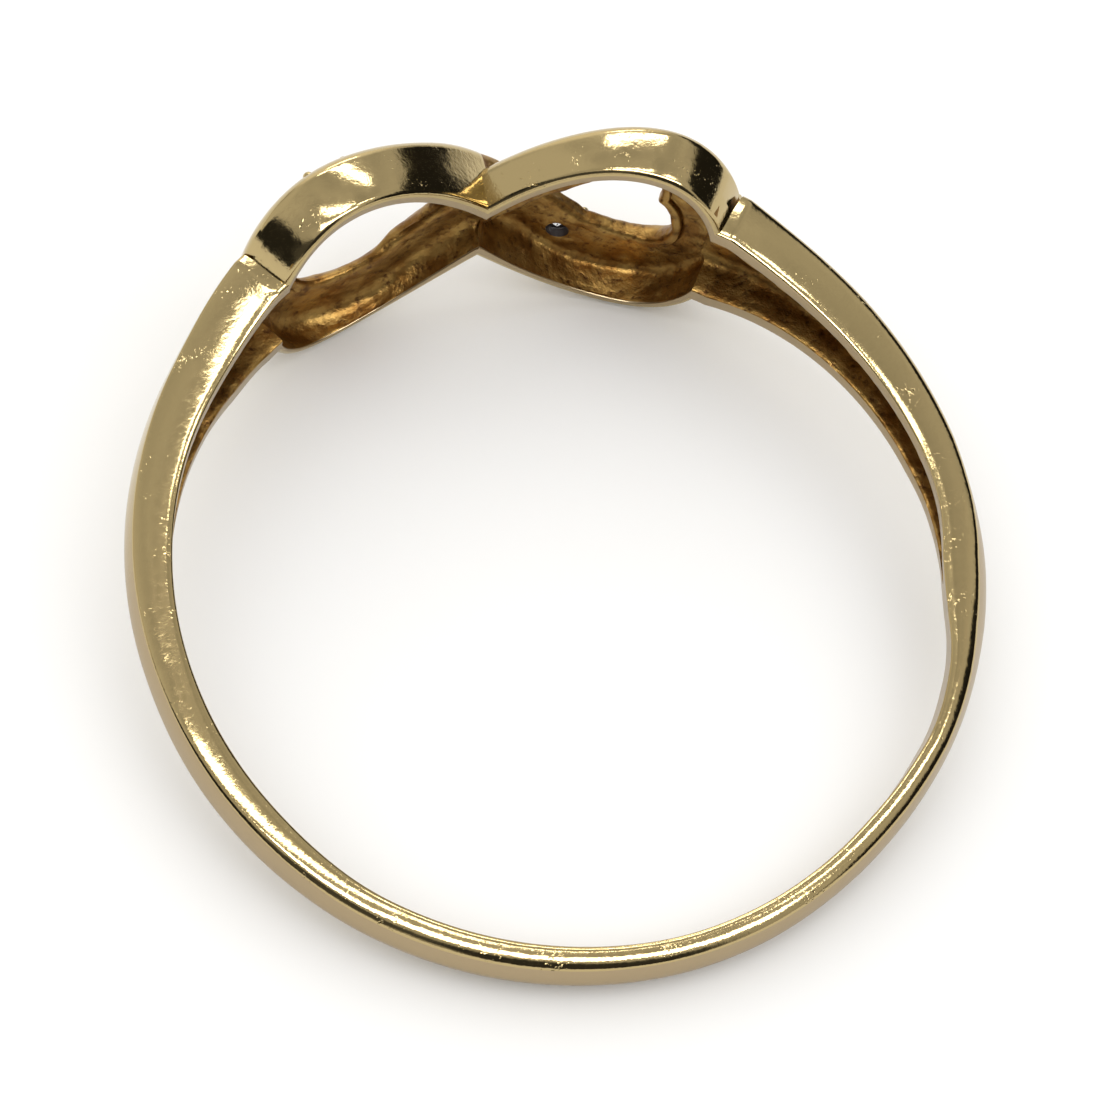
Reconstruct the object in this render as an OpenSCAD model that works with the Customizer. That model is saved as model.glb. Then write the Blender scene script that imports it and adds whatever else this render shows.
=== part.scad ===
// Infinity ring: a hollow-backed cast ring whose head is two strands crossing in an endless loop.
// It lies on its side, finger axis near upright, head towards +Y, resting on both loops and the back.
// Millimetres. Ring shapes are drawn in ring coordinates: angle from the middle of the head,
// radius from the finger axis and z along the finger axis, and the whole ring is then laid down.

/* [Finger bore] */
// Diameter of the finger bore
bore_d = 17.3; // [15:0.1:21]

/* [Shank] */
// Width of the shank at the back, measured at the bore
back_w = 1.24; // [1:0.02:2]
// Radial thickness of the shank at the back
back_t = 0.62; // [0.5:0.02:1.2]
// Width of a shoulder where it leaves its loop, measured at the bore
shoulder_w = 3; // [2.4:0.1:3.4]
// Radial thickness of a shoulder where it leaves its loop
shoulder_t = 1.46; // [1.1:0.02:1.48]
// Distance along the bore in which the shoulders lose most of their extra width
shoulder_taper = 2.6; // [1.5:0.1:4]
// How far each flat side leans in between the bore and its outer edge
side_lean = 0.1; // [0.08:0.01:0.2]
// Rise of the domed outer face above its two edges
shank_dome = 0.18; // [0.1:0.01:0.24]

/* [Head] */
// Overall width of the head over the rims of the loops
head_w = 5.76; // [5.2:0.02:6.6]
// Length of the head over both loops, measured round the crown of the strands
head_l = 13.3; // [12:0.1:16]
// Width of a strand
strand_w = 1.62; // [1.4:0.02:1.8]
// Height of the crown of a strand above the bore
strand_h = 1.54; // [1.5:0.02:2]
// Rise of a strand's top above its edge on the outer side of a loop
strand_dome = 0.42; // [0.2:0.02:0.5]
// Rise of a strand's top above its edge beside a loop's opening
opening_dome = 0.5; // [0.2:0.02:0.6]
// How far the two strands rise and dip where they cross
weave = 0.28; // [0.1:0.02:0.3]
// Lean of the outer side walls between the rim and the top
wall_lean = 0.08; // [0.02:0.01:0.2]
// Width of the groove between a loop and its shoulder, and its depth
groove_w = 0.18; // [0.1:0.01:0.24]
groove_depth = 0.22; // [0.1:0.01:0.24]

/* [Hollow back] */
// Thickness of the side walls at the rim
wall_t = 0.42; // [0.34:0.02:0.5]
// Thickness of a strand between its crown and the hollow below
strand_t = 0.62; // [0.5:0.02:0.8]
// Thickness of the shoulders over the hollow below them
shoulder_skin = 0.5; // [0.4:0.02:0.6]
// Thickness of the flange round each loop's opening, and how far it hangs into the hollow
flange_t = 0.3; // [0.2:0.02:0.4]
flange_h = 0.16; // [0.05:0.01:0.3]
// Distance along the bore from a loop to the tip of the hollow in its shoulder
hollow_l = 9.6; // [5:0.1:12]

/* [Accent stones] */
// Diameter of an accent stone
stone_d = 1; // [0.8:0.02:1.1]
// Distance of the near stone from the middle of the head, measured round the crown of the strands
near_stone_u = 3.9; // [2.4:0.1:4]
// Distance of the far stone from the middle of the head, measured round the crown of the strands
far_stone_u = 2.3; // [2.2:0.1:4]
// How far the stones sit from the strand's middle line towards the loop's opening
stone_inset = 0.1; // [0:0.02:0.16]
// Diameter of the hole drilled through the strand below a stone
drill_d = 0.56; // [0.4:0.02:0.7]
// Gap between a stone and its seat
seat_gap = 0.02; // [0.01:0.01:0.05]
// Diameter of the beads that hold a stone
bead_d = 0.26; // [0.2:0.02:0.3]

/* [Hidden] */
GOLD = "#b59a5e";
STONE = "#dfe3e6";

R = bore_d / 2;
// The walls run this far inside the bore and are then cut back by it
INSIDE = 0.4;
R_LOW = R - INSIDE;
// The radius at which lengths round the head are measured
R_HEAD = R + strand_h;
HALF = strand_w / 2;

// The endless loop: t runs from 0 at one loop's end, through the crossing at 90, to 180 at the other's
T_STEP = 3;
LOOP_U = head_l / 2 - HALF;
LOOP_Z = head_w / 2 - wall_lean - HALF;
// The strands cross more steeply than a plain figure of eight by this share
STEEPER = 0.2;
CROSS_SLOPE = atan(2 * LOOP_Z * (1 + STEEPER) / LOOP_U);
// Where an outer wall reaches the waist, and how soon it then shrinks to the flange of the other loop
WAIST_T = asin(HALF * sin(CROSS_SLOPE) / LOOP_U);
FADE_T = 4;
DOME_STEPS = 8;

// Shoulders: where they leave the loops, where they start inside them, and how fast they thin
A_LOOP = angle_at(head_l / 2);
A_START = angle_at(head_l / 2 - wall_t) - 0.4;
THINNING = 1.55;
SHANK_STEPS = 64;
DOME_SIDES = 8;
HOLLOW_STEPS = 20;
// Radius of the rounding between a hollow's sides and its roof
HOLLOW_ROUND = 0.25;
// The hollows of the shoulders open into those of the loops from here
A_OPEN = angle_at(head_l / 2 - wall_t - 0.25);
// The groove round a loop's end: where its ends are, where it leaves the outer face, its height at the rim
GROOVE_T = 24;
GROOVE_TOP_T = 10;
GROOVE_FOOT = 0.14;

// Accent stones: shares of the stone's diameter
TABLE = 0.58;
CROWN = 0.15;
GIRDLE = 0.04;
PAVILION = 0.42;
// The girdle lies this share of the diameter below the strand's crown
SUNK = 0.13;
STONE_SIDES = 8;
SEAT_SIDES = 20;
BEADS = 4;
// A bead's centre lies this share of its diameter below the crown
BEAD_SUNK = 0.55;

function angle_at(u) = u / R_HEAD * 180 / PI;
function unit(v) = v / norm(v);
function mix(a, b, s) = a + (b - a) * min(1, max(0, s));
function ring_point(r, angle, z) = [r * cos(angle), r * sin(angle), z];

// A strand's middle line in the plan of the head, and the direction across it
function mid(t) = [LOOP_U * cos(t), LOOP_Z * sin(2 * t) * (1 + STEEPER * pow(sin(t), 8))];
function across(t) = let (d = unit(mid(t + 0.5) - mid(t - 0.5))) [d.y, -d.x];
function crown_r(t, lift) = R_HEAD + lift * pow(sin(t), 6);
// A point of a strand: n across it from its middle line, r from the finger axis
function strand_point(t, n, r, way) =
    let (plan = mid(t) + n * across(t)) ring_point(r, angle_at(way * plan.x), plan.y);

// How far an outer wall has shrunk to a flange: 0 before the waist and 1 past the crossing
function shrunk(t) = (t - 90 + WAIST_T) / FADE_T;
// One side of a strand: [wall thickness, lowest radius, lean at the lowest radius, rise of the top]
function side(t, lift) =
    let (crown = crown_r(t, lift),
         edge = crown - strand_dome,
         lean = wall_lean * (edge - R_LOW) / (edge - R))
    [mix(wall_t, flange_t, shrunk(t)), mix(R_LOW, crown - strand_t - flange_h, shrunk(t)),
     mix(lean, 0, shrunk(t)), mix(strand_dome, opening_dome, (t - 45) / 45)];

// A strand's section: walls hang from both edges, and each half of the top is a quarter of an ellipse
function strand_section(t, lift, way) =
    let (a = side(t, lift),
         b = side(180 - t, lift),
         crown = crown_r(t, lift),
         roof = crown - strand_t,
         outline = concat(
             [[-HALF - b[2], b[1]], [-HALF + b[0], b[1]], [-HALF + b[0], roof],
              [HALF - a[0], roof], [HALF - a[0], a[1]], [HALF + a[2], a[1]]],
             [for (k = [0:DOME_STEPS]) let (s = 180 * k / DOME_STEPS)
                 [HALF * cos(s), crown - (s < 90 ? a[3] : b[3]) * (1 - sin(s))]]))
    [for (p = outline) strand_point(t, p.x, p.y, way)];

// The shank's sizes at an angle from the middle of the head, the same on both sides
function past_loop(angle) = max(0, min(angle, 360 - angle) - A_LOOP) * PI / 180 * R;
function shank_half(angle) = back_w / 2 + (shoulder_w - back_w) / 2 * exp(-past_loop(angle) / shoulder_taper);
function shank_thick(angle) =
    back_t + (shoulder_t - back_t) * min(1, pow((1 + cos(angle)) / (1 + cos(A_LOOP)), THINNING));
function shank_section(angle) =
    let (half = shank_half(angle),
         edge = shank_thick(angle) - shank_dome,
         low = half + side_lean * INSIDE / edge)
    concat(
        [ring_point(R_LOW, angle, -low), ring_point(R_LOW, angle, low)],
        [for (k = [0:DOME_SIDES]) let (s = 1 - 2 * k / DOME_SIDES)
            ring_point(R + edge + shank_dome * (1 - s * s), angle, (half - side_lean) * s)]);

// The hollow under a shoulder, narrowing to a round tip
function hollow_half(angle) =
    let (share = min(1, past_loop(angle) / hollow_l))
    max(0.02, (shank_half(angle) - mix(wall_t, wall_t * 0.75, share)) * sqrt(1 - pow(share, 6)));
function hollow_section(angle, way) =
    let (half = hollow_half(angle),
         low = R_LOW - 0.3,
         roof = R + shank_thick(angle) - shoulder_skin,
         round = min(HOLLOW_ROUND, half),
         corner = [half - 0.4 * round, roof - 0.2 * round])
    [for (p = [[-half, low], [half, low], [half, roof - round], corner, [half - round, roof],
               [round - half, roof], [-corner.x, corner.y], [-half, roof - round]])
        ring_point(p.y, way * angle, p.x)];

// The groove between a loop's end and its shoulder: a V that runs over the outer face and down both sides
function groove_section(t, way) =
    let (top = R_HEAD + 0.5,
         low = mix(R + shoulder_t - groove_depth, R + GROOVE_FOOT, (abs(t) - GROOVE_TOP_T) / 6),
         wall = HALF - 0.03,
         v = [[wall, low], [wall + 0.3 * groove_w, low], [wall + groove_w, top], [wall, top]])
    [for (p = v) strand_point(t, p.x, p.y, way)];

// Closes a skin over sections with the same number of points
module skin(sections, turned = false) {
    n = len(sections[0]);
    m = len(sections);
    sides = [for (i = [0:m - 2]) for (j = [0:n - 1])
        let (k = (j + 1) % n) [i * n + j, i * n + k, (i + 1) * n + k, (i + 1) * n + j]];
    ends = [[for (j = [n - 1:-1:0]) j], [for (j = [0:n - 1]) (m - 1) * n + j]];
    polyhedron(
        points = [for (s = sections) each s],
        faces = [for (f = concat(sides, ends)) turned ? [for (j = [len(f) - 1:-1:0]) f[j]] : f],
        convexity = 8);
}

module strand(lift, way) {
    skin([for (t = [0:T_STEP:180]) strand_section(t, lift, way)], way < 0);
}
module shank() {
    skin([for (k = [0:SHANK_STEPS]) shank_section(A_START + (360 - 2 * A_START) * k / SHANK_STEPS)], true);
}
module shoulder_hollow(way) {
    tip = A_LOOP + hollow_l / R * 180 / PI;
    function angle_of(k) = A_OPEN + (tip - A_OPEN) * sin(90 * k / HOLLOW_STEPS);
    skin([for (k = [0:HOLLOW_STEPS]) hollow_section(angle_of(k), way)], way > 0);
}
module groove(way) {
    skin([for (t = [-GROOVE_T:T_STEP / 2:GROOVE_T]) groove_section(t, way)], way < 0);
}

// Places its children on the crown of the strand that passes over, +Z away from the finger,
// and turns their +X to run along the strand
module on_strand(t) {
    plan = mid(t) + (t < 90 ? -1 : 1) * stone_inset * across(t);
    along = across(t);
    rotate([0, 0, angle_at(plan.x)]) translate([crown_r(t, weave), 0, plan.y])
        rotate([0, 90, 0]) rotate([0, 0, atan2(along.y, along.x)]) children();
}
function near_t() = acos(near_stone_u / LOOP_U);
function far_t() = 180 - acos(far_stone_u / LOOP_U);

function facet_ring(r, z) =
    [for (k = [0:STONE_SIDES - 1]) let (s = 360 * k / STONE_SIDES) [r * cos(s), r * sin(s), z]];
module cut_stone() {
    girdle_top = -SUNK * stone_d;
    girdle_low = girdle_top - GIRDLE * stone_d;
    color(STONE) skin([
        facet_ring(0.02, girdle_low - PAVILION * stone_d),
        facet_ring(stone_d / 2, girdle_low),
        facet_ring(stone_d / 2, girdle_top),
        facet_ring(TABLE * stone_d / 2, girdle_top + CROWN * stone_d)], true);
}
// The seat follows the stone's girdle and cone at the gap, down to the drilled hole
module seat() {
    seat_r = stone_d / 2 + seat_gap;
    floor_z = -(SUNK + GIRDLE) * stone_d - seat_gap;
    cone_h = PAVILION * stone_d * (seat_r - drill_d / 2) / (stone_d / 2);
    drill_r = drill_d / 2;
    low_z = -strand_t - 0.3;
    top_z = floor_z + stone_d;
    rotate_extrude($fn = SEAT_SIDES) polygon([[0, low_z], [drill_r, low_z], [drill_r, floor_z - cone_h],
        [seat_r, floor_z], [seat_r, top_z], [0, top_z]]);
}
module beads() {
    bead_r = stone_d / 2 + seat_gap + bead_d / 2;
    for (k = [0:BEADS - 1]) rotate([0, 0, 360 * (k + 0.5) / BEADS])
        translate([bead_r, 0, -BEAD_SUNK * bead_d]) sphere(d = bead_d, $fn = 10);
}

// The casting before its bore is cut. Resized to its own width, it stays as it is and becomes one mesh
CAST_W = 2 * max([for (t = [0:T_STEP:90]) for (p = strand_section(t, weave, 1)) p.z]);
module casting() {
    resize([0, 0, CAST_W]) difference() {
        union() {
            strand(weave, 1);
            strand(-weave, -1);
            shank();
            on_strand(near_t()) beads();
            on_strand(far_t()) beads();
        }
        for (way = [-1, 1]) {
            shoulder_hollow(way);
            groove(way);
        }
        on_strand(near_t()) seat();
        on_strand(far_t()) seat();
    }
}

// On its side it rests on the far rims of both loops and on the back: the points that can touch, [y, z]
function rim_plan(t) = mid(t) + (HALF + wall_lean) * across(t);
RIMS = [for (t = [0:T_STEP:60]) [R * cos(angle_at(rim_plan(t).x)), -rim_plan(t).y]];
BACK = [[-R, -back_w / 2], [shank_dome - R - back_t, side_lean - back_w / 2]];
TILT = atan(min([for (b = BACK) max([for (h = RIMS) (b.y - h.y) / (h.x - b.x)])]));
Z_LOW = min([for (b = BACK) b.y * cos(TILT) + b.x * sin(TILT)]);
function laid_y(p) = p.x * cos(TILT) - p.z * sin(TILT);
Y_MAX = max([for (way = [-1, 1]) for (t = [0:T_STEP:180])
    for (p = strand_section(t, way * weave, way)) laid_y(p)]);
Y_MIN = min([for (p = shank_section(180)) laid_y(p)]);
module lay_down() {
    translate([0, -(Y_MAX + Y_MIN) / 2, -Z_LOW]) rotate([TILT, 0, 0]) rotate([0, 0, 90]) children();
}

module ring_body() {
    color(GOLD) lay_down() difference() {
        casting();
        cylinder(r = R, h = 2 * head_w, center = true, $fn = 180);
    }
}
module accent_stone_near() {
    lay_down() on_strand(near_t()) cut_stone();
}
module accent_stone_far() {
    lay_down() on_strand(far_t()) cut_stone();
}

ring_body();
accent_stone_near();
accent_stone_far();
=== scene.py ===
"""An infinity ring of polished yellow gold, lying on its side: a hollow-backed casting with an endless-loop
head, made here with the bends, the cast roughness and the wear of one real ring. Its two accent stones keep
their shapes and get a material."""
import math
import bpy
from mathutils import Matrix
import numpy as np


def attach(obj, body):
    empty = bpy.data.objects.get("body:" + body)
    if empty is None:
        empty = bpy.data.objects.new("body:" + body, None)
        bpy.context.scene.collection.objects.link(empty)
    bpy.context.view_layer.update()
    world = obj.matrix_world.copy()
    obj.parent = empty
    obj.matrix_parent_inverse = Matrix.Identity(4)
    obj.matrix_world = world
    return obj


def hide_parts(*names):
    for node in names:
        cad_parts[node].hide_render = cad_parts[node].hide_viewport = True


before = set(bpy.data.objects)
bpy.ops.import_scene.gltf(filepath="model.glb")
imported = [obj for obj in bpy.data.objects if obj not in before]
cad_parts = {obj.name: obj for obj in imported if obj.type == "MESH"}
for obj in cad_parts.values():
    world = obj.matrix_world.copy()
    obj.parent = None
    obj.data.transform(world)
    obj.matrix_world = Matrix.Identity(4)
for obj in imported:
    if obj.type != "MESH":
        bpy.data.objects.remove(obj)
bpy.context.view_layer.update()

# Sizes are in millimetres, and these are the same as in the part's source. The shank: its width and thickness
# at the back and at the shoulders, the length in which it tapers, its leaning sides and its dome
BORE_R = 8.65
BACK_W = 1.24
BACK_T = 0.62
SHOULDER_W = 3.0
SHOULDER_T = 1.46
SHOULDER_TAPER = 2.6
SIDE_LEAN = 0.1
SHANK_DOME = 0.18
# The head: its width and length, its strands, how far they rise and dip where they cross, and the lean of
# their outer walls
HEAD_W = 5.76
HEAD_L = 13.3
STRAND_W = 1.62
STRAND_H = 1.54
STRAND_DOME = 0.42
WEAVE = 0.28
WALL_LEAN = 0.08
# The groove between a loop and its shoulder: its width and depth, its reach round the loop's end in degrees,
# the degrees at which it leaves the outer face and in which it runs down the side, the height of its foot
# above the bore, and how far inside the side of the strand it starts
GROOVE_W = 0.18
GROOVE_DEPTH = 0.22
GROOVE_T = 24
GROOVE_TOP_T = 10
GROOVE_DOWN_T = 6
GROOVE_FOOT = 0.14
GROOVE_INSET = 0.03
# The hollow back: the walls, the metal over the hollows, the flange round an opening, the shoulders' hollows
WALL_T = 0.42
STRAND_T = 0.62
SHOULDER_SKIN = 0.5
FLANGE_T = 0.3
HOLLOW_L = 9.6
# The accent stones, their places along the head, their seats and the beads that hold them
STONE_D = 1.0
NEAR_STONE_U = 3.9
FAR_STONE_U = 2.3
STONE_INSET = 0.1
DRILL_D = 0.56
SEAT_GAP = 0.02
BEAD_D = 0.26
BEADS = 4
# Shares of the stone's diameter: from the strand's crown down to the foot of the girdle, and on to the tip
GIRDLE_FOOT = 0.17
PAVILION = 0.42
# The share of its diameter by which a bead's middle lies below the crown
BEAD_SUNK = 0.55
# The strands cross more steeply than a plain figure of eight by this share
STEEPER = 0.2
# The power with which the shank thins towards the back
THINNING = 1.55

# Sizes that only this ring has: the bulge of the outer walls, how round the rims are inside and outside, and
# the least depth of the flange
WALL_BULGE = 0.07
RIM_INNER_ROUND = 0.05
RIM_OUTER_ROUND = 0.15
FLANGE_LEAST = 0.016
# The share of the flange's depth by which its edges are rounded
FLANGE_ROUND = 0.4
# An outer wall ends this share of WAIST_T before the crossing, within this many degrees
WALL_END = 0.56
FADE_T = 0.8
# The bevel at the inside of the shank: its width, its greatest height, and its share of a thin shank's side
BEVEL_W = 0.06
BEVEL_H = 0.2
BEVEL_SHARE = 0.3
# The shank's dome falls with this power of the distance from its middle line
DOME_POWER = 1.5
# The hollow of a shoulder: the round of its roof and of its lip, the share of the wall's thickness that is
# left at its tip, and the least half of its width
COVE_R = 0.3
LIP_R = 0.05
TIP_WALL = 0.75
TIP_HALF = 0.02
# How much of the groove's width is left at the right and, almost polished away, at the left
RIGHT_GROOVE = 0.7
LEFT_GROOVE = 0.35
# How far a cutter reaches past what it cuts, inwards and outwards
PAST = 0.3
ABOVE = 0.5
# The lumps of the rough cast surface: their height, their least and greatest length, and how many waves make
# them, each of which starts somewhere in a full turn
CAST_DEPTH = 0.01
LUMP_SHORT = 0.22
LUMP_LONG = 1.3
LUMP_WAVES = 48
FULL_TURN = 6.283
# Below this height, in units of the lumps' spread, they are this many times as steep
PIT_FROM = -0.6
PIT_SLOPE = 1.7
# Edges sharper than this many degrees are shown as edges
SHARP_EDGE = 32

# The radius at which lengths round the head are measured
R_HEAD = BORE_R + STRAND_H
HALF = STRAND_W / 2
# Half the length and half the width of the loop's middle line
LOOP_U = HEAD_L / 2 - HALF
LOOP_Z = HEAD_W / 2 - WALL_LEAN - HALF
# Angles from the middle of the head: the loop's end, and where the shank and a shoulder's hollow start, which
# is past the inside of the loop's wall, by degrees and by millimetres
SHANK_INSIDE = 0.4
HOLLOW_INSIDE = 0.25
A_LOOP = HEAD_L / 2 / R_HEAD
A_START = (HEAD_L / 2 - WALL_T) / R_HEAD - math.radians(SHANK_INSIDE)
A_OPEN = (HEAD_L / 2 - WALL_T - HOLLOW_INSIDE) / R_HEAD
# Degrees along the loop from the waist of the head to the crossing, and the places of the two stones
CROSS_SLOPE = math.atan(2 * LOOP_Z * (1 + STEEPER) / LOOP_U)
WAIST_T = math.degrees(math.asin(HALF * math.sin(CROSS_SLOPE) / LOOP_U))
NEAR_T = math.degrees(math.acos(NEAR_STONE_U / LOOP_U))
FAR_T = 180 - math.degrees(math.acos(FAR_STONE_U / LOOP_U))

# How the ring is laid down, as the part lies: turned about X, then moved onto the floor
TILT = math.radians(7.84064)
SHIFT_Y = -0.61620
SHIFT_Z = 1.79422
# Metres in a millimetre
MM = 0.001

# Faces are sorted into these finishes as they are made
POLISHED, RIM, HOLLOW, DRILLED, WORN_AND_SHADED = 0, 1, 2, 3, 4
# Marks points of a section that are polished on the opening's side too
CROWN = 5

# Stations round the loop run from its left end, 0, over the near left and far right to the right end, 180,
# and back over the near right and far left. With each: the thickness of the outer wall, the depth of the
# flange round the opening, how far the opening's side of the dome drops below the crown, how much wider that
# side is, and the radius of the hollow's corner between wall and roof
ROUND_LOOP = np.array([
    # station, wall, flange, drop, wider, corner
    (0, 0.25, 0.0, 0.5, 0.0, 0.24),
    (20, 0.3, 0.0, 0.5, 0.0, 0.24),
    (45, 0.38, 0.0, 0.5, 0.0, 0.24),
    (90, 0.36, 0.0, 0.42, 0.0, 0.24),
    (104, 0.26, 0.0, 0.3, 0.08, 0.24),
    (122, 0.24, 0.0, 0.36, 0.08, 0.24),
    (140, 0.22, 0.06, 0.45, 0.0, 0.24),
    (155, 0.26, 0.14, 0.5, -0.1, 0.24),
    (170, 0.3, 0.16, 0.5, -0.1, 0.24),
    (184, 0.32, 0.16, 0.5, 0.1, 0.24),
    (198, 0.34, 0.14, 0.5, 0.36, 0.24),
    (212, 0.34, 0.05, 0.5, 0.1, 0.24),
    (225, 0.35, 0.0, 0.5, 0.0, 0.24),
    (270, 0.35, 0.0, 0.5, 0.0, 0.3),
    (282, 0.28, 0.0, 0.5, -0.1, 0.42),
    (300, 0.2, 0.0, 0.5, -0.06, 0.45),
    (330, 0.2, 0.0, 0.5, 0.0, 0.45),
    (345, 0.24, 0.0, 0.5, 0.0, 0.36),
    (360, 0.25, 0.0, 0.5, 0.0, 0.24)])

# How far the corner of the shank's side with its dome is rounded off. In this table and the next three, the
# first column is the degrees from the middle of the head, clockwise as the photo shows the ring
CORNERS = np.array([
    (-60, 0.04), (-90, 0.04), (-110, 0.06), (-130, 0.1), (-160, 0.08), (180, 0.05), (120, 0.05),
    (90, 0.07), (75, 0.14), (60, 0.18), (45, 0.18)])

# The real ring is a little out of true. With the degrees: how far the bore is bent outwards there, and how
# much thicker the metal is than the part's
BENDS = np.array([
    (-170, 0.04, 0.02), (-155, 0.08, 0.03), (-138, 0.11, 0.02), (-124, 0.0, 0.09), (-112, -0.03, 0.06),
    (-98, -0.055, -0.02), (-80, -0.07, -0.06), (-64, -0.075, -0.09), (-50, -0.11, -0.07), (-38, -0.03, 0.0),
    (-25, 0.0, 0.0), (-14, 0.0, -0.06), (-7, 0.0, 0.0), (-2, 0.0, 0.13), (4, 0.0, 0.08),
    (12, 0.0, 0.03), (20, 0.0, 0.09), (28, 0.0, 0.17), (35, 0.0, 0.11), (42, 0.01, 0.06),
    (58, 0.035, 0.08), (75, 0.04, 0.03), (88, 0.04, 0.01), (96, -0.06, 0.12), (101, -0.14, 0.16),
    (107, -0.08, 0.06), (112, 0.02, -0.09), (124, 0.02, -0.15), (133, -0.1, -0.08), (144, -0.17, -0.02),
    (155, -0.12, -0.02), (166, -0.05, 0.0), (178, 0.02, 0.0)])
# The bends are averaged over these degrees to either side, so that they have no kinks
SMOOTHED = (-3.0, -1.5, 0.0, 1.5, 3.0)

# Here the inside slants, narrower towards the near side, by this much per millimetre of width
SLANTS = np.array([(80, 0.0), (90, 0.1), (98, 0.25), (108, 0.25), (116, 0.12), (128, 0.0)])

# And here the near side leans outwards, by this much per millimetre of height above the bore
LEANS = np.array([(-146, 0.0), (-138, 0.08), (-128, 0.18), (-108, 0.14), (-97, 0.0)])

# The far stretches of the strands lie low in these dips: the middle and the spread in degrees, and the depth
DIPS = [(-21, 9, 0.3), (-15, 6, 0.17), (16, 7, 0.19)]
# One far stretch is also bent away from the near side: the middle, the spread and how far
BENT_AWAY = (-46, 6, 0.22)
# What is bent on the far side only starts this far from the middle, and is bent in full this much further on
FAR_FROM = 0.4
FAR_SPAN = 0.7
# What leans on the near side only does so in full this far from the middle
NEAR_SPAN = 0.4


def srgb(code):
    """The linear colour of an sRGB hex code."""
    parts = [int(code[i:i + 2], 16) / 255 for i in (0, 2, 4)]
    return tuple(c / 12.92 if c <= 0.04045 else ((c + 0.055) / 1.055) ** 2.4 for c in parts) + (1.0,)


def ease(x):
    """Goes from 0 to 1 with no corner at either end: 3x^2 - 2x^3."""
    x = np.clip(x, 0, 1)
    return x * x * (3 - 2 * x)


def between(a, b, share):
    """The value at that share of the way from a to b, kept between them."""
    return a + (b - a) * np.clip(share, 0, 1)


def bell(x, middle, spread):
    """A bell curve that is 1 at its middle: exp(-((x - middle) / spread)^2)."""
    return np.exp(-((x - middle) / spread) ** 2)


def in_scene(name, data):
    """A new object with this mesh, lamp or camera, put in the scene."""
    piece = bpy.data.objects.new(name, data)
    bpy.context.scene.collection.objects.link(piece)
    return piece


def values(items, what, count, kind=float):
    """One attribute of all the items of a mesh, as one array."""
    found = np.empty(count, kind)
    items.foreach_get(what, found)
    return found


def ring_xyz(r, angle, z):
    """Ring coordinates to x, y, z: radius and angle about the finger axis, head along +X."""
    return np.stack(np.broadcast_arrays(r * np.cos(angle), r * np.sin(angle), z), -1)


def mid(t):
    """The endless loop in the plan of the head: u = LOOP_U cos t, z = LOOP_Z sin 2t (1 + STEEPER sin^8 t)."""
    rad = np.radians(t)
    z = LOOP_Z * np.sin(2 * rad) * (1 + STEEPER * np.sin(rad) ** 8)
    return np.stack([LOOP_U * np.cos(rad), z], -1)


def across(t):
    """The unit direction square to the loop's line, from a small step each way."""
    step = mid(t + 0.5) - mid(t - 0.5)
    step /= np.linalg.norm(step, axis=-1, keepdims=True)
    return np.stack([step[..., 1], -step[..., 0]], -1)


def crown_r(t, lift):
    """Radius of a strand's crown: level, and raised or dipped towards the crossing as sin^6 t."""
    return R_HEAD + lift * np.sin(np.radians(t)) ** 6


def beside_loop(t, n, r, way):
    """Points n to the side of the loop's line at t, wrapped round the bore at radius r."""
    plan = mid(t)[None] + n[..., None] * across(t)[None]
    return ring_xyz(r, way * plan[..., 0] / R_HEAD, plan[..., 1])


def arc(centre_n, centre_r, radius_n, radius_r, start, end, count):
    """Points of an elliptic arc in a section, angles in degrees, as [count, ...] arrays of n and r."""
    s = np.radians(np.linspace(start, end, count)).reshape(-1, *[1] * np.ndim(centre_n))
    return centre_n + radius_n * np.cos(s), centre_r + radius_r * np.sin(s)


def outline(runs):
    """Joins runs of a section's points, each run (place across, radius, finish) for all the stations at once,
    into three arrays [points, stations]."""
    full = [np.broadcast_arrays(*map(np.atleast_2d, run)) for run in runs]
    return [np.concatenate([run[k] for run in full]) for k in range(3)]


def both_halves(z, r, finish, back):
    """Adds the other half of an even outline: back takes the points that it repeats, in reverse."""
    return np.concatenate([z, -z[back]]), np.concatenate([r, r[back]]), np.concatenate([finish, finish[back]])


def quads(grid):
    """Four-sided faces between the rows of a grid of vertex numbers, where each row closes on itself."""
    beside = np.roll(grid, -1, axis=1)
    return np.stack([grid[:-1], beside[:-1], beside[1:], grid[1:]], -1).reshape(-1, 4)


def tube(points, finish, turned=False):
    """Vertices, faces and finishes of a closed skin over sections. points is [around, sections, 3], finish is
    [around, sections], and turned flips the faces of a skin that runs the other way."""
    points = points.transpose(1, 0, 2)
    sections, around, _ = points.shape
    grid = np.arange(sections * around).reshape(sections, around)
    faces, ends = quads(grid), [grid[0][::-1], grid[-1]]
    if turned:
        faces, ends = faces[:, ::-1], [end[::-1] for end in ends]
    finish = np.maximum(finish, np.roll(finish, -1, axis=0))
    kinds = np.maximum(finish[:, :-1], finish[:, 1:]).T.ravel()
    faces = faces.tolist() + [end.tolist() for end in ends]
    return points.reshape(-1, 3), faces, np.append(kinds, [POLISHED, POLISHED])


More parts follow.
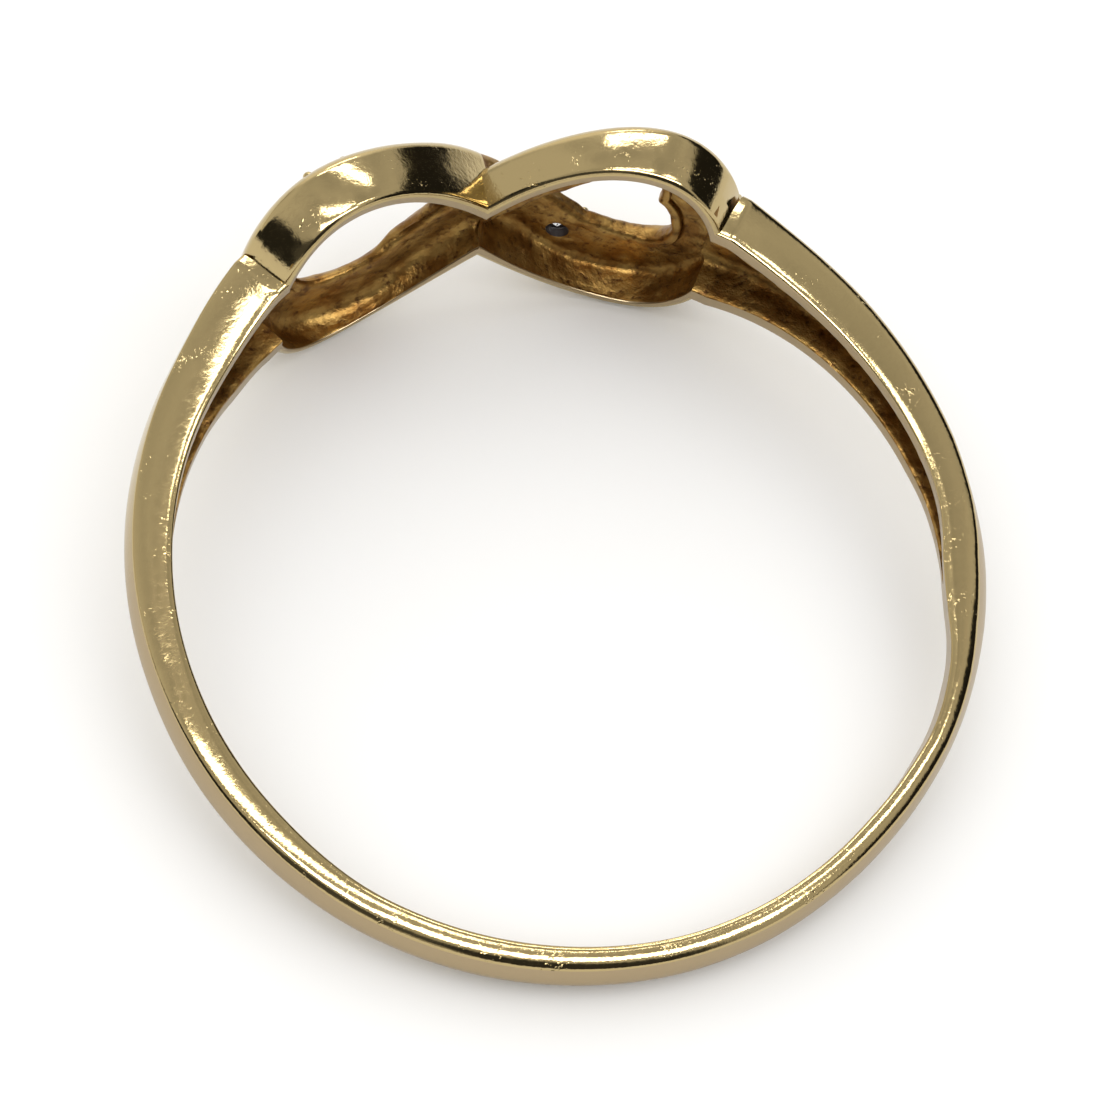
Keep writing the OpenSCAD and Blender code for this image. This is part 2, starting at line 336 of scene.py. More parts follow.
def lathe(r, h, sides):
    """Turns a profile that starts and ends on the axis about it: one ring of points for each inner point."""
    a = np.linspace(0, 2 * np.pi, sides, endpoint=False)
    rings = np.stack([r[1:-1, None] * np.cos(a), r[1:-1, None] * np.sin(a), h[1:-1, None] + 0 * a], -1)
    verts = np.concatenate([[[0, 0, h[0]]], rings.reshape(-1, 3), [[0, 0, h[-1]]]])
    grid = 1 + np.arange((len(r) - 2) * sides).reshape(-1, sides)
    low = np.stack([np.roll(grid[0], -1), grid[0], 0 * grid[0]], -1)
    high = np.stack([grid[-1], np.roll(grid[-1], -1), 0 * grid[-1] + len(verts) - 1], -1)
    return verts, quads(grid).tolist() + low.tolist() + high.tolist()


def half_section(t, lift, station):
    """One side of a strand's section from the middle of its roof, down the inside of the wall, round the
    rim, up the outside and over the dome to the crown. Past the crossing this is the opening's side: there
    is only a low flange, and the casting is left unpolished as far as the middle of the dome."""
    past = (t - 90 + WALL_END * WAIST_T) / FADE_T
    stations, *columns = ROUND_LOOP.T
    wall, flange, drop, wider, cove = (np.interp(station, stations, column) for column in columns)
    flange = np.maximum(flange, FLANGE_LEAST)
    half = HALF + between(0, wider, past)
    inner = half - between(wall, FLANGE_T, past)
    crown = crown_r(t, lift)
    roof = crown - STRAND_T
    low = between(BORE_R, roof - flange, past)
    rise = between(STRAND_DOME, drop, (t - 45) / 45)
    top = crown - rise
    lean = between(WALL_LEAN, 0, past)
    bulge = between(WALL_BULGE, 0, past)
    cove = between(cove, FLANGE_ROUND * flange, past)
    edge = between(RIM_INNER_ROUND, FLANGE_ROUND * flange, past)
    outer = RIM_OUTER_ROUND
    side = half + lean - bulge
    runs = [(share * (inner - cove), roof, HOLLOW) for share in np.linspace(0, 0.85, 6)]
    runs += [(*arc(inner - cove, roof - cove, cove, cove, 90, 0, 6), HOLLOW)]
    runs += [(inner, between(roof - cove, low + edge, share), HOLLOW) for share in np.linspace(0.15, 0.9, 6)]
    runs += [(*arc(inner + edge, low + edge, edge, edge, 180, 270, 5), RIM),
             (0.5 * (inner + edge + side - outer), low, RIM),
             (*arc(side - outer, low + outer, outer, outer, 270, 352, 7), POLISHED)]
    for share in (0.06, 0.14, 0.24, 0.36, 0.5, 0.65, 0.8, 0.93):
        out = half + lean * (1 - share) - bulge * (1 - share) ** 3
        runs += [(out, between(low + outer, top, share), POLISHED)]
    runs += [(*arc(0 * t, top, half, rise, 0, 48, 7), POLISHED),
             (*arc(0 * t, top, half, rise, 55, 86, 6), CROWN)]
    n, r, finish = outline(runs)
    return n, r, np.where((past > 0.25) & (finish != CROWN), HOLLOW, finish % CROWN)


def strand_section(t, lift, way):
    """The whole outline of a strand at each t: forwards along the n > 0 side, over the crown, and back along
    the n < 0 side to the roof."""
    station = t if way > 0 else t + 180
    n, r, finish = half_section(t, lift, station)
    back_n, back_r, back_finish = half_section(180 - t, lift, station)
    crown = crown_r(t, lift)[None]
    return (np.concatenate([n, 0 * crown, -back_n[:0:-1]]),
            np.concatenate([r, crown, back_r[:0:-1]]),
            np.concatenate([finish, np.full_like(finish[:1], POLISHED), back_finish[:0:-1]]))


def strand(lift, way):
    """A strand of the loop: its section carried along the loop's line and wrapped round the bore."""
    t = np.linspace(0, 180, 241)
    n, r, finish = strand_section(t, lift, way)
    return tube(beside_loop(t, n, r, way), finish, turned=way > 0)


def past_loop(angle):
    """Length round the bore from a loop's end, at an angle from the head on either side."""
    away = np.minimum(angle, 2 * np.pi - angle)
    return np.maximum(0, away - A_LOOP) * BORE_R


def shank_half(angle):
    """Half the shank's width at the bore: a share of its extra width is lost with each length of taper."""
    return BACK_W / 2 + (SHOULDER_W - BACK_W) / 2 * np.exp(-past_loop(angle) / SHOULDER_TAPER)


def shank_thick(angle):
    """Radial thickness: a power of (1 + cos) that is full at the loops and least at the back."""
    fullness = ((1 + np.cos(angle)) / (1 + np.cos(A_LOOP))) ** THINNING
    return BACK_T + (SHOULDER_T - BACK_T) * np.minimum(1, fullness)


def bend(start, corner, end, s):
    """The quadratic curve that leaves start towards the corner and comes to end, at share s of its run."""
    return (1 - s) ** 2 * start + 2 * s * (1 - s) * corner + s * s * end


def shank():
    """The shank's section, flat inside with bevelled edges, sides that lean and are buffed a little round, a
    rounded corner and a low dome, carried round the back."""
    a = np.linspace(A_START, 2 * np.pi - A_START, 541)
    half = shank_half(a)
    edge = shank_thick(a) - SHANK_DOME
    bevel = np.minimum(BEVEL_H, BEVEL_SHARE * edge)
    corner = np.interp(-np.degrees(a), *CORNERS.T, period=360)
    top_z = half - SIDE_LEAN
    # The shares of the side and of the dome that are left where the corner is rounded off
    side_share = 1 - corner / (edge - bevel)
    dome_share = 1 - corner / top_z

    # Half the width and the radius at a share of the way up the side, and of the way out over the dome
    def side(s):
        return half - SIDE_LEAN * (s * side_share) ** 2, BORE_R + between(bevel, edge, s * side_share)

    def dome(s):
        return top_z * dome_share * s, BORE_R + edge + SHANK_DOME * (1 - (dome_share * s) ** DOME_POWER)

    runs = [(s * (half - BEVEL_W), BORE_R, RIM) for s in (0.0, 0.4, 0.8)]
    runs += [(*arc(half - BEVEL_W, BORE_R + bevel, BEVEL_W, bevel, 270, 360, 9), POLISHED)]
    runs += [(*side(s), POLISHED) for s in (0.12, 0.25, 0.38, 0.52, 0.68, 0.85)]
    for s in (0.0, 0.17, 0.33, 0.5, 0.67, 0.83, 1.0):
        z, r = (bend(*ends, s) for ends in zip(side(1.0), (top_z, BORE_R + edge), dome(1.0)))
        runs += [(z, r, POLISHED)]
    # The dome takes the worn finish, whose darker tone towards the back is a painted reflection
    runs += [(*dome(s), WORN_AND_SHADED) for s in np.linspace(0.93, 0, 10)]
    z, r, finish = both_halves(*outline(runs), slice(-2, 0, -1))
    return tube(ring_xyz(r, a[None], z), finish)


def shoulder_hollow(way):
    """The cutter for a shoulder's hollow: a rounded trough that opens into the loop and narrows to a tip."""
    tip = A_LOOP + HOLLOW_L / BORE_R
    a = A_OPEN + (tip - A_OPEN) * np.sin(np.radians(np.linspace(0, 90, 121)))
    share = np.minimum(1, past_loop(a) / HOLLOW_L)
    wall = between(WALL_T, TIP_WALL * WALL_T, share)
    half = np.maximum(TIP_HALF, (shank_half(a) - wall) * np.sqrt(1 - share ** 6))
    roof = BORE_R + shank_thick(a) - SHOULDER_SKIN
    cove = np.minimum(COVE_R, half)
    lip = np.minimum(LIP_R, half)
    runs = [(half + lip, BORE_R - PAST, RIM),
            (half + lip, BORE_R - 0.002, RIM),
            (half + 0.3 * lip, BORE_R + 0.3 * lip, HOLLOW),
            (half, BORE_R + lip, HOLLOW)]
    runs += [(half, between(BORE_R + lip, roof - cove, s), HOLLOW) for s in (0.2, 0.4, 0.6, 0.8)]
    runs += [(*arc(half - cove, roof - cove, cove, cove, 0, 90, 7), HOLLOW)]
    runs += [(s * (half - cove), roof, HOLLOW) for s in (0.8, 0.6, 0.4, 0.2)]
    z, r, finish = both_halves(*outline(runs), slice(None, None, -1))
    return tube(ring_xyz(r, way * a[None], z), finish, turned=way < 0)


def groove(way):
    """The cutter for the groove between a loop and its shoulder: a V that runs round the loop's end, over
    the outer face and down both sides."""
    t = np.linspace(-GROOVE_T, GROOVE_T, 97)
    top = R_HEAD + ABOVE + 0 * t
    down = (np.abs(t) - GROOVE_TOP_T) / GROOVE_DOWN_T
    low = between(BORE_R + SHOULDER_T - GROOVE_DEPTH, BORE_R + GROOVE_FOOT, down)
    wall = HALF - GROOVE_INSET
    width = (RIGHT_GROOVE if way < 0 else LEFT_GROOVE) * GROOVE_W
    n, r, finish = outline([(wall, low, POLISHED), (wall + 0.3 * width, low, HOLLOW),
                            (wall + width, top, POLISHED), (wall, top, POLISHED)])
    return tube(beside_loop(t, n, r, way), finish, turned=way > 0)


def placed(verts, t):
    """Vertices given about a stone's axis, put on the crown of the strand that passes over, at t: Z away from
    the finger, and X and Y turned with the strand as in the part."""
    run = across(t)
    plan = mid(t) + (-1 if t < 90 else 1) * STONE_INSET * run
    a = plan[0] / R_HEAD
    out = np.array([math.cos(a), math.sin(a), 0])
    round_bore = np.array([-math.sin(a), math.cos(a), 0])
    axis = np.array([0.0, 0, 1])
    spin = math.atan2(run[1], run[0])
    x = math.cos(spin) * -axis + math.sin(spin) * round_bore
    y = -math.sin(spin) * -axis + math.cos(spin) * round_bore
    origin = crown_r(t, WEAVE) * out + plan[1] * axis
    return verts @ np.stack([x, y, out], 1).T + origin


def seat():
    """The cutter for a stone's seat and its drilled hole, about the stone's axis: the hole, a cone, and the
    straight side round the girdle."""
    seat_r = STONE_D / 2 + SEAT_GAP
    drill_r = DRILL_D / 2
    floor_z = -GIRDLE_FOOT * STONE_D - SEAT_GAP
    cone_h = PAVILION * STONE_D * (seat_r - drill_r) / (STONE_D / 2)
    low_z = -STRAND_T - PAST
    top_z = floor_z + STONE_D
    r = [0, drill_r, drill_r, seat_r, seat_r, 0]
    h = [low_z, low_z, floor_z - cone_h, floor_z, top_z, top_z]
    return lathe(np.array(r), np.array(h), 48)


def beads():
    """Four small balls round a stone, sunk a little more than half into the strand's crown."""
    a = np.radians(np.linspace(0, 180, 13))
    ball_verts, ball_faces = lathe(BEAD_D / 2 * np.sin(a), -BEAD_D / 2 * np.cos(a), 20)
    verts, faces = [], []
    reach = STONE_D / 2 + SEAT_GAP + BEAD_D / 2
    for k in range(BEADS):
        turn = math.radians(360 / BEADS * (k + 0.5))
        faces += [[i + len(ball_verts) * k for i in face] for face in ball_faces]
        verts.append(ball_verts + [reach * math.cos(turn), reach * math.sin(turn), -BEAD_SUNK * BEAD_D])
    return np.concatenate(verts), faces


def averaged(phi, column):
    """One column of the bends at these degrees from the head, averaged over a few degrees."""
    found = (np.interp(phi + step, BENDS[:, 0], BENDS[:, column], period=360) for step in SMOOTHED)
    return sum(value / len(SMOOTHED) for value in found)


def out_of_true(points):
    """Bends ring-coordinate points as the real ring is bent: the bore's shift, and the metal's extra
    thickness in proportion to the height above the bore. The far stretches of both strands are also low."""
    x, y, z = points.T
    r = np.hypot(x, y)
    angle = np.arctan2(y, x)
    phi = -np.degrees(angle)
    metal = shank_thick(np.abs(angle))
    height = (r - BORE_R) / metal
    far = ease((-FAR_FROM - z) / FAR_SPAN)
    low = sum(depth * bell(phi, middle, spread) for middle, spread, depth in DIPS) * far
    r = r + averaged(phi, 1) + (averaged(phi, 2) - low) * height - np.interp(phi, *SLANTS.T) * z
    middle, spread, aside = BENT_AWAY
    z = z - aside * bell(phi, middle, spread) * far
    z = z + np.interp(phi, *LEANS.T) * height * metal * ease(z / NEAR_SPAN)
    return np.stack([r * np.cos(angle), r * np.sin(angle), z], 1)


def lumps(points):
    """Height of the cast surface's lumps and pits at each point: a sum of sine waves in fixed random
    directions, each as high as its length to the power 0.4, in units of their spread. The pits are
    steeper."""
    pick = np.random.default_rng(7)
    total = 0
    for k in range(LUMP_WAVES):
        length = LUMP_SHORT * (LUMP_LONG / LUMP_SHORT) ** pick.random()
        toward = pick.normal(size=3)
        toward /= np.linalg.norm(toward)
        start = pick.random() * FULL_TURN
        total = total + length ** 0.4 * np.sin(points @ toward * 2 * np.pi / length + start)
    total /= total.std()
    return np.where(total < PIT_FROM, PIT_SLOPE * total + (1 - PIT_SLOPE) * PIT_FROM, total)


def lay_down(points):
    """Ring coordinates to the part's: a quarter turn, the tilt it rests at, and the move onto the floor."""
    x, y, z = points.T
    x, y = -y, x
    y, z = y * math.cos(TILT) - z * math.sin(TILT), y * math.sin(TILT) + z * math.cos(TILT)
    return np.stack([x, y + SHIFT_Y, z + SHIFT_Z], 1)


def add(tree, kind, settings=None, links=None):
    """Adds a node. settings are its properties or its inputs' values, and links join other nodes' outputs to
    its inputs."""
    node = tree.nodes.new(kind)
    for key, value in (settings or {}).items():
        if isinstance(key, str) and hasattr(node, key):
            setattr(node, key, value)
        else:
            node.inputs[key].default_value = value
    for key, source in (links or {}).items():
        tree.links.new(source, node.inputs[key])
    return node


def per_mm(count):
    """The scale of a noise with so many grains on each millimetre."""
    return count * 1000.0


def new_material(name):
    """An empty material and its node tree."""
    material = bpy.data.materials.new(name)
    material.use_nodes = True
    material.node_tree.nodes.clear()
    return material, material.node_tree


# The colours of gold of about 10 carat where it is polished and where it is sanded. The sanded one is darker
# and greyer as painted shade, for the darker reflections of the rims and of the shank's back
POLISHED_TONE = srgb("B9A577")
SANDED_AND_SHADED_TONE = srgb("AB9878")


def polished_gold():
    """Yellow gold of about 10 carat, buffed on a wheel: a bright mirror, a little wavy, with ragged small
    dents and nicks that catch the light."""
    material, tree = new_material("polished_yellow_gold")
    place = add(tree, "ShaderNodeTexCoord").outputs["Object"]
    # The wheel leaves the surface uneven over about 0.7 mm and ragged over about 0.12 mm
    waves = add(tree, "ShaderNodeTexNoise", {"Scale": per_mm(1.4), "Detail": 1.0}, {"Vector": place})
    ragged = add(tree, "ShaderNodeTexNoise", {"Scale": per_mm(8), "Detail": 3.0, "Roughness": 0.6},
                 {"Vector": place})
    # Nicks about 0.07 mm across, in loose groups almost a millimetre apart
    group = add(tree, "ShaderNodeTexNoise", {"Scale": per_mm(1.1), "Detail": 1.0}, {"Vector": place})
    speck = add(tree, "ShaderNodeTexNoise", {"Scale": per_mm(14), "Detail": 1.0}, {"Vector": place})
    both = add(tree, "ShaderNodeMath", {"operation": "MULTIPLY"},
               {0: group.outputs["Fac"], 1: speck.outputs["Fac"]})
    nicks = add(tree, "ShaderNodeMapRange",
                {"From Min": 0.42, "From Max": 0.6, "To Min": 1.0, "To Max": 0.0},
                {"Value": both.outputs[0]})
    first = add(tree, "ShaderNodeBump", {"Strength": 0.3, "Distance": 0.03 * MM},
                {"Height": waves.outputs["Fac"]})
    second = add(tree, "ShaderNodeBump", {"Strength": 0.5, "Distance": 0.007 * MM},
                 {"Height": ragged.outputs["Fac"], "Normal": first.outputs[0]})
    third = add(tree, "ShaderNodeBump", {"Strength": 0.5, "Distance": 0.03 * MM},
                {"Height": nicks.outputs[0], "Normal": second.outputs[0]})
    rough = add(tree, "ShaderNodeMapRange",
                {"From Min": 0.3, "From Max": 0.7, "To Min": 0.06, "To Max": 0.14},
                {"Value": ragged.outputs["Fac"]})
    shader = add(tree, "ShaderNodeBsdfPrincipled", {"Base Color": POLISHED_TONE, "Metallic": 1.0},
                 {"Roughness": rough.outputs[0], "Normal": third.outputs[0]})
    add(tree, "ShaderNodeOutputMaterial", links={"Surface": shader.outputs[0]})
    return material


def sanded(tree, place):
    """The normal of a sanded surface: low bumps of about 0.11 mm, as coarse as they need to be to show."""
    grit = add(tree, "ShaderNodeTexNoise", {"Scale": per_mm(9), "Detail": 4.0, "Roughness": 0.6},
               {"Vector": place})
    bump = add(tree, "ShaderNodeBump", {"Strength": 0.25, "Distance": 0.012 * MM},
               {"Height": grit.outputs["Fac"]})
    return bump.outputs[0]


def sanded_and_shaded_gold():
    """The same gold on the narrow rims that face the finger: filed flat and only sanded, so it is duller. Its
    darker, greyer tone is painted shade.
    """
    material, tree = new_material("sanded_and_shaded_yellow_gold")
    place = add(tree, "ShaderNodeTexCoord").outputs["Object"]
    # The darker, greyer tone here is painted shade; the roughness and the bumps are the sanding
    shader = add(tree, "ShaderNodeBsdfPrincipled",
                 {"Base Color": SANDED_AND_SHADED_TONE, "Metallic": 1.0, "Roughness": 0.3},
                 {"Normal": sanded(tree, place)})
    add(tree, "ShaderNodeOutputMaterial", links={"Surface": shader.outputs[0]})
    return material


def worn_and_shaded_gold():
    """The same gold on the outside of the shank: polished at the shoulders, and rubbed duller by wear towards
    the back, from 3.5 mm ahead of the middle on. There its tone also turns darker and greyer: a painted
    reflection of a darker table than this one."""
    material, tree = new_material("worn_and_shaded_yellow_gold")
    place = add(tree, "ShaderNodeTexCoord").outputs["Object"]
    along = add(tree, "ShaderNodeSeparateXYZ", links={0: place})
    # From 0 ahead to 1 at the back: the surface gets rougher with wear, and its tone darker as a painted
    # reflection
    dull = add(tree, "ShaderNodeMapRange", {"From Min": 3.5 * MM, "From Max": 0.0},
               {"Value": along.outputs[1]})
    rough = add(tree, "ShaderNodeMapRange", {"To Min": 0.12, "To Max": 0.3}, {"Value": dull.outputs[0]})
    tone = add(tree, "ShaderNodeMix", {"data_type": "RGBA", 6: POLISHED_TONE, 7: SANDED_AND_SHADED_TONE},
               {"Factor": dull.outputs[0]})
    shader = add(tree, "ShaderNodeBsdfPrincipled", {"Metallic": 1.0},
                 {"Base Color": tone.outputs[2], "Roughness": rough.outputs[0],
                  "Normal": sanded(tree, place)})
    add(tree, "ShaderNodeOutputMaterial", links={"Surface": shader.outputs[0]})
    return material


def cast_gold():
    """The same gold as it left the mould inside the hollows: grainy and unpolished, in a darker, browner tone
    that is partly its own and partly painted shade of the deep hollows, and darker still in its pits.
    """
    material, tree = new_material("rough_cast_gold")
    place = add(tree, "ShaderNodeTexCoord").outputs["Object"]
    # Grains of the mould's plaster, about 0.2 mm apart, over broader patches of 0.6 mm
    grain = add(tree, "ShaderNodeTexNoise", {"Scale": per_mm(5), "Detail": 3.0, "Roughness": 0.6},
                {"Vector": place})
    patch = add(tree, "ShaderNodeTexNoise", {"Scale": per_mm(1.7), "Detail": 3.0, "Roughness": 0.55},
                {"Vector": place})
    worn = add(tree, "ShaderNodeMapRange", {"From Min": 0.36, "From Max": 0.62},
               {"Value": patch.outputs["Fac"]})
    pits = add(tree, "ShaderNodeMapRange", {"From Min": 0.3, "From Max": 0.46},
               {"Value": grain.outputs["Fac"]})
    # These darker, browner tones are partly painted shade of the deep hollows; the pits are darker still
    tone = add(tree, "ShaderNodeMix", {"data_type": "RGBA", 6: srgb("815C2C"), 7: srgb("A7864C")},
               {"Factor": worn.outputs[0]})
    shaded_and_pitted = add(tree, "ShaderNodeMix", {"data_type": "RGBA", 6: srgb("5E4124")},
                  {"Factor": pits.outputs[0], 7: tone.outputs[2]})
    bump = add(tree, "ShaderNodeBump", {"Strength": 0.8, "Distance": 0.04 * MM},
               {"Height": grain.outputs["Fac"]})
    shader = add(tree, "ShaderNodeBsdfPrincipled", {"Metallic": 1.0, "Roughness": 0.42},
                 {"Base Color": shaded_and_pitted.outputs[2], "Normal": bump.outputs[0]})
    add(tree, "ShaderNodeOutputMaterial", links={"Surface": shader.outputs[0]})
    return material


def plain(name, settings):
    """A material with no pattern, from its surface's settings."""
    material, tree = new_material(name)
    shader = add(tree, "ShaderNodeBsdfPrincipled", settings)
    add(tree, "ShaderNodeOutputMaterial", links={"Surface": shader.outputs[0]})
    return material


def residue():
    """Polishing compound and grime left in the drilled holes and round the stones: dark brown and dull."""
    return plain("dark_residue", {"Base Color": srgb("2E1F18"), "Roughness": 0.5})


def cut_stone():
    """A small clear, colourless stone, like diamond: almost no tint and strong refraction."""
    return plain("clear_cut_stone", {"Base Color": srgb("F4F6F8"), "Roughness": 0.0, "IOR": 2.2,
                                     "Transmission Weight": 1.0})


def table_top():
    """A white painted table top: pale and matt."""
    return plain("pale_table", {"Base Color": srgb("F6F6F6"), "Roughness": 0.8})


# In the order of POLISHED, RIM, HOLLOW, DRILLED and WORN_AND_SHADED
FINISHES = [polished_gold(), sanded_and_shaded_gold(), cast_gold(), residue(), worn_and_shaded_gold()]


def make_object(name, verts, faces, kinds):
    """An object of the casting's metal from vertices in millimetres, with one finish per face."""
    mesh = bpy.data.meshes.new(name)
    mesh.from_pydata(np.round(verts, 6) * MM, [], faces)
    for material in FINISHES:
        mesh.materials.append(material)
    mesh.polygons.foreach_set("material_index", np.asarray(kinds, dtype=np.int32))
    mesh.update()
    return in_scene(name, mesh)


def combine(target, cutter, operation):
    """Joins a piece to another or cuts it from it, and applies the result to the mesh."""
    mod = target.modifiers.new("combine", "BOOLEAN")
    mod.object = cutter
    mod.operation = operation
    mod.solver = "MANIFOLD"
    graph = bpy.context.evaluated_depsgraph_get()
    mesh = bpy.data.meshes.new_from_object(target.evaluated_get(graph))
    target.modifiers.clear()
    old = target.data
    target.data = mesh
    bpy.data.meshes.remove(old)
    bpy.data.objects.remove(cutter)


def age(mesh):
    """Gives the true casting the real one's surface and bends: roughens the vertices with cast faces all
    round them, bends it all out of true, lays it down and wears it flat where it touches the table."""
    count = len(mesh.vertices)
    points = values(mesh.vertices, "co", 3 * count).reshape(-1, 3) * 1000
    normals = values(mesh.vertices, "normal", 3 * count).reshape(-1, 3)
    kinds = values(mesh.polygons, "material_index", len(mesh.polygons), np.int32)
    corners = values(mesh.polygons, "loop_total", len(mesh.polygons), np.int32)
    corner_vertex = values(mesh.loops, "vertex_index", len(mesh.loops), np.int32)
    rough = np.ones(count)
    rough[corner_vertex[np.repeat(kinds != HOLLOW, corners)]] = 0
    points += (CAST_DEPTH * rough * lumps(points))[:, None] * normals
    points = lay_down(out_of_true(points))
    points[:, 2] = np.maximum(points[:, 2], 0)
    mesh.vertices.foreach_set("co", (points * MM).ravel())
    mesh.set_sharp_from_angle(angle=math.radians(SHARP_EDGE))
    mesh.update()


def ring_casting():
    """The whole casting: both strands, the shank and the beads joined, then the shoulders' hollows, the
    grooves and the seats cut, then aged and laid down."""
    body = make_object("casting", *strand(WEAVE, 1))
    combine(body, make_object("under", *strand(-WEAVE, -1)), "UNION")
    combine(body, make_object("shank", *shank()), "UNION")
    for t in (NEAR_T, FAR_T):
        verts, faces = beads()
        kinds = np.full(len(faces), POLISHED)
        combine(body, make_object("beads", placed(verts, t), faces, kinds), "UNION")
    for way in (-1, 1):
        combine(body, make_object("hollow", *shoulder_hollow(way)), "DIFFERENCE")
        combine(body, make_object("groove", *groove(way)), "DIFFERENCE")
    for t in (NEAR_T, FAR_T):
        verts, faces = seat()
        kinds = np.full(len(faces), DRILLED)
        combine(body, make_object("seat", placed(verts, t), faces, kinds), "DIFFERENCE")
    age(body.data)
    return body


casting = ring_casting()
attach(casting, "root")
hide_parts("ring_body")

STONE = cut_stone()
for name in ("accent_stone_near", "accent_stone_far"):
    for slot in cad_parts[name].material_slots:
        slot.material = STONE

# The camera, fitted to the bore's two rims in the photo: its turns about the ring's X, Y and Z in degrees,
# pixels per millimetre at the ring, one over its distance in millimetres, and the pixel of the bore's middle
CAMERA_TURNS = (-23.3371, 13.4984, 8.15)
PIXELS_PER_MM = 45.685
ONE_OVER_DISTANCE = 0.0164
BORE_PIXEL = (566.7823, 570.8183)
PHOTO_PIXELS = 1100
SENSOR_MM = 36.0

# Half a side of the table, how far off the lamps are, and the height they face, in metres
TABLE_HALF = 0.5
LAMP_DISTANCE = 0.4
LAMPS_FACE = 0.003


def turn_about(axis, angle):
    """The 3 by 3 turn by an angle in radians about X, Y or Z, which are 0, 1 and 2."""
    a, b = (axis + 1) % 3, (axis + 2) % 3
    turn = np.eye(3)
    turn[a, a] = turn[b, b] = math.cos(angle)
    turn[b, a] = math.sin(angle)
    turn[a, b] = -math.sin(angle)
    return turn


def pose(turn, place):
    """The matrix of a 3 by 3 turn and a place in metres."""
    matrix = np.eye(4)
    matrix[:3, :3] = turn
    matrix[:3, 3] = place
    return Matrix(matrix.tolist())


def camera():
    """The camera at the photo's angle to the ring: its view of the upright ring, laid down with the ring."""
    turn_x, turn_y, turn_z = (turn_about(k, math.radians(a)) for k, a in enumerate(CAMERA_TURNS))
    view = turn_z @ turn_y @ turn_x
    lie = turn_about(0, TILT)
    aim = np.array([(PHOTO_PIXELS / 2 - BORE_PIXEL[0]) / PIXELS_PER_MM,
                    (BORE_PIXEL[1] - PHOTO_PIXELS / 2) / PIXELS_PER_MM, 1 / ONE_OVER_DISTANCE])
    place = lie @ (view.T @ aim) + [0, SHIFT_Y, SHIFT_Z]
    lens = bpy.data.cameras.new("camera")
    lens.sensor_width = SENSOR_MM
    lens.lens = PIXELS_PER_MM / ONE_OVER_DISTANCE * SENSOR_MM / PHOTO_PIXELS
    lens.clip_start = 0.001
    lens.clip_end = 10.0
    piece = in_scene("camera", lens)
    piece.matrix_world = pose(lie @ view.T, place * MM)
    bpy.context.scene.camera = piece


def floor():
    """A plain pale table, one flat square with its top at zero."""
    mesh = bpy.data.meshes.new("floor")
    corners = [(x * TABLE_HALF, y * TABLE_HALF, 0) for x, y in ((-1, -1), (1, -1), (1, 1), (-1, 1))]
    mesh.from_pydata(corners, [], [(0, 1, 2, 3)])
    mesh.materials.append(table_top())
    in_scene("floor", mesh)


def heading(right, ahead):
    """The direction that lies so many degrees from straight up, to the right and towards the head."""
    lean = math.radians(math.hypot(right, ahead))
    turn = math.atan2(ahead, right)
    return np.array([math.sin(lean) * math.cos(turn), math.sin(lean) * math.sin(turn), math.cos(lean)])


def softbox(name, right, ahead, width, height, brightness, spin=0.0, mirrored=True):
    """A rectangular lamp that faces the ring. Its place, size and spin are in degrees as the ring sees them.
    A lamp is either mirrored in the gold or lights the table."""
    toward = heading(right, ahead)
    size = [2 * LAMP_DISTANCE * math.tan(math.radians(a) / 2) for a in (width, height)]
    lamp = bpy.data.lights.new(name, "AREA")
    lamp.shape = "RECTANGLE"
    lamp.size, lamp.size_y = size
    lamp.energy = brightness * math.pi * size[0] * size[1]
    side = np.cross([0.0, 1.0, 0.0], toward)
    side /= np.linalg.norm(side)
    up = np.cross(toward, side)
    s, c = math.sin(math.radians(spin)), math.cos(math.radians(spin))
    piece = in_scene(name, lamp)
    piece.matrix_world = pose(np.stack([c * side + s * up, c * up - s * side, toward], 1),
                              toward * LAMP_DISTANCE + [0, 0, LAMPS_FACE])
    piece.visible_camera = False
    piece.visible_glossy = mirrored
    piece.visible_diffuse = not mirrored


# What the gold mirrors of the room besides the lamps, in degrees as the ring sees it: the place of each
# bright or dark patch, the angles from its middle at which it starts and ends fading, and its brightness
PATCHES = [
    # right, ahead, full, gone, brightness
    (4, 72, 16, 34, 1.3),
    (-76, 40, 14, 26, 0.9),
    (-50, 30, 18, 30, 0.85),
    (0, -68, 22, 34, 0.05),
    (-80, -20, 24, 28, 0.03),
    (57, 52, 9, 12, 0.02),
    (-48, -46, 16, 22, 0.1),
    (68, 28, 16, 19, 0.02),
    (74, 4, 19, 22, 0.02),
    (70, -26, 17, 20, 0.02)]
# The range of the noise that is added to a direction of length 1, to make the patches ragged
PUSH = 0.25


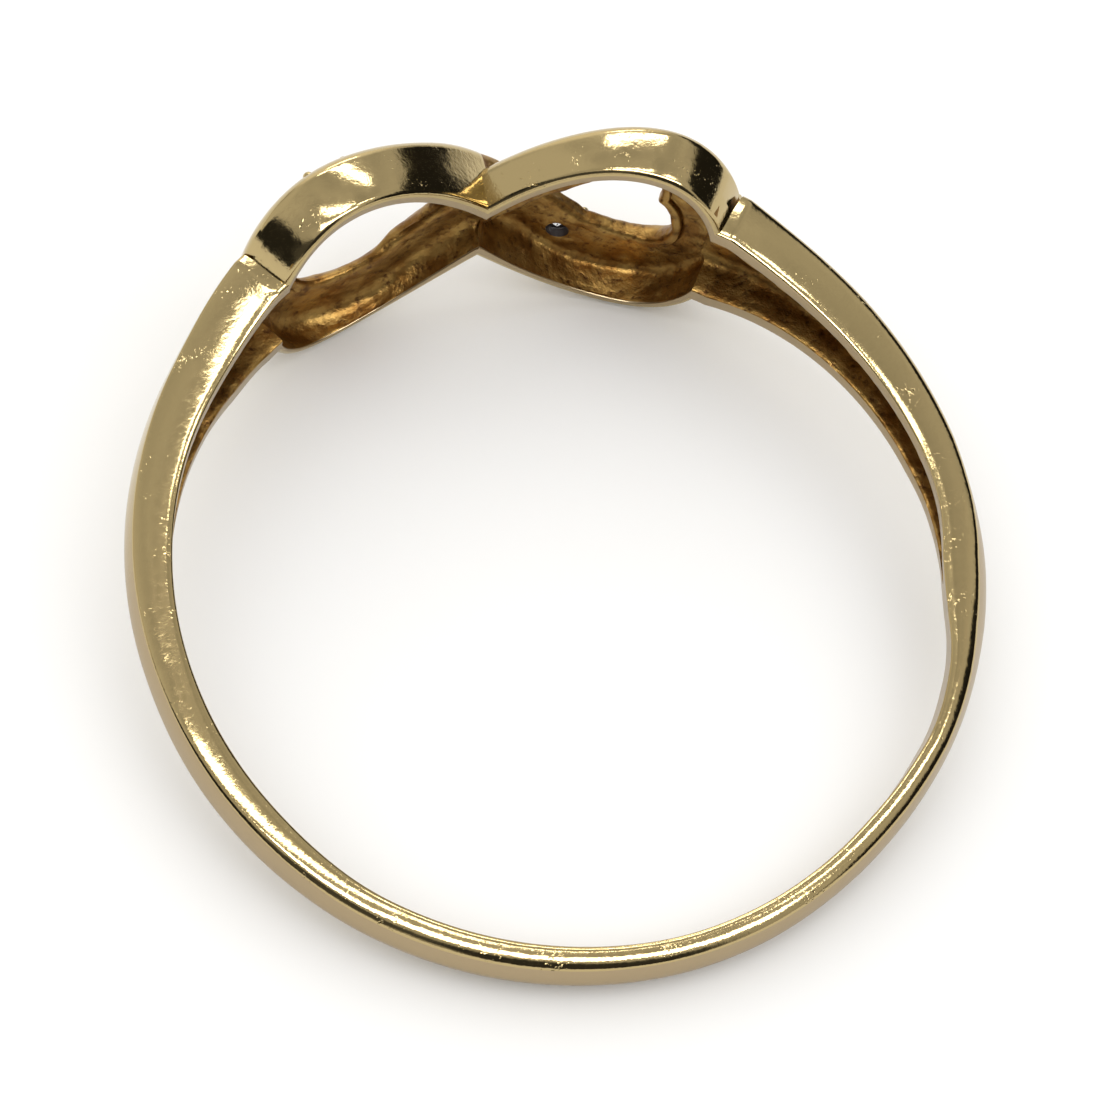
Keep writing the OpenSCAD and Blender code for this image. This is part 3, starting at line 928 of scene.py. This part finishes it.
def room():
    """The room: a plain grey all round that noise makes uneven, and ragged patches that it moves towards."""
    world = bpy.data.worlds.new("studio")
    bpy.context.scene.world = world
    world.use_nodes = True
    tree = world.node_tree
    tree.nodes.clear()
    way = add(tree, "ShaderNodeTexCoord").outputs["Generated"]
    noise = add(tree, "ShaderNodeTexNoise", {"Scale": 7.0, "Detail": 4.0, "Roughness": 0.6}, {"Vector": way})
    pushed = add(tree, "ShaderNodeVectorMath", {"operation": "MULTIPLY_ADD", 1: (PUSH, PUSH, PUSH)},
                 {0: noise.outputs["Color"], 2: way})
    centred = add(tree, "ShaderNodeVectorMath", {"operation": "SUBTRACT", 1: (PUSH / 2, PUSH / 2, PUSH / 2)},
                  {0: pushed.outputs[0]})
    ragged = add(tree, "ShaderNodeVectorMath", {"operation": "NORMALIZE"}, {0: centred.outputs[0]})
    uneven = add(tree, "ShaderNodeTexNoise", {"Scale": 5.0, "Detail": 3.0}, {"Vector": way})
    light = add(tree, "ShaderNodeMapRange",
                {"From Min": 0.3, "From Max": 0.7, "To Min": 0.54, "To Max": 0.78},
                {"Value": uneven.outputs["Fac"]}).outputs[0]
    for right, ahead, full, gone, brightness in PATCHES:
        dot = add(tree, "ShaderNodeVectorMath", {"operation": "DOT_PRODUCT", 1: tuple(heading(right, ahead))},
                  {0: ragged.outputs[0]})
        share = add(tree, "ShaderNodeMapRange",
                    {"interpolation_type": "SMOOTHSTEP", "From Min": math.cos(math.radians(gone)),
                     "From Max": math.cos(math.radians(full)), "To Min": 0.0, "To Max": 1.0},
                    {"Value": dot.outputs["Value"]})
        light = add(tree, "ShaderNodeMapRange", {"To Max": brightness},
                    {"Value": share.outputs[0], "To Min": light}).outputs[0]
    sky = add(tree, "ShaderNodeBackground", {"Color": srgb("FBF9F4")}, {"Strength": light})
    add(tree, "ShaderNodeOutputWorld", links={"Surface": sky.outputs[0]})


camera()
floor()
room()
softbox("window_above", -5, 4.3, 28, 7.8, 8.0)
softbox("window_right", 11.5, 8.5, 6, 3, 8.0)
softbox("lamp_right", 28, -2, 14, 7, 8.0)
softbox("window_ahead", 10.5, 37.8, 34, 5.5, 8.0, spin=-18)
softbox("lamp_left", -18, -14, 16, 9, 11.0)
softbox("window_far", 10, 58, 18, 8, 5.0)
softbox("lamp_behind", 4, -25, 56, 12, 11.0, spin=-10)
softbox("table_light", 0, 0, 150, 150, 0.68, mirrored=False)
bpy.context.scene.view_settings.view_transform = "Standard"
